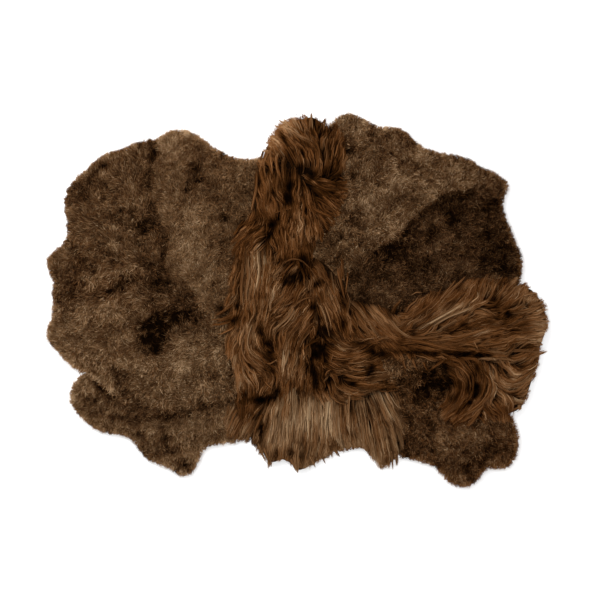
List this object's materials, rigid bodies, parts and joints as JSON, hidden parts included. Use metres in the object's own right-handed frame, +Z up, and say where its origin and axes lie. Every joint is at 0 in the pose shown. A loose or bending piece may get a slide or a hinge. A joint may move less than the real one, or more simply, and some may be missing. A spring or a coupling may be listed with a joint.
{
  "type": "sheepskin rug",
  "caption": "Loose floor rug pieced from brown sheepskins, some clipped short and curly and some with their long wool, with an uneven outline.",
  "frame": {"origin": "on the floor, under the middle of the rug's box", "axes": "+X along the rug's longer side, +Y towards the crest of long wool at its upper rim, +Z up from the floor through the wool"},
  "size_m": [1.7902, 1.3266, 0.0659],
  "materials": {
    "clipped_brown": "matte",
    "clipped_light": "matte",
    "clipped_dark": "matte",
    "long_russet": "matte",
    "long_brown": "matte",
    "long_golden": "matte",
    "hide": "matte"
  },
  "bodies": {
    "root": {"skin_upper_left": "clipped_brown", "skin_upper_left_inner": "clipped_light", "skin_left": "clipped_brown", "skin_lower_left": "clipped_brown", "skin_top_long": "long_russet", "skin_centre_long": "long_brown", "skin_lower_long": "long_golden", "skin_right_long": "long_brown", "skin_upper_right": "clipped_light", "skin_right": "clipped_dark", "skin_lower_right": "clipped_dark"}
  },
  "joints": []
}
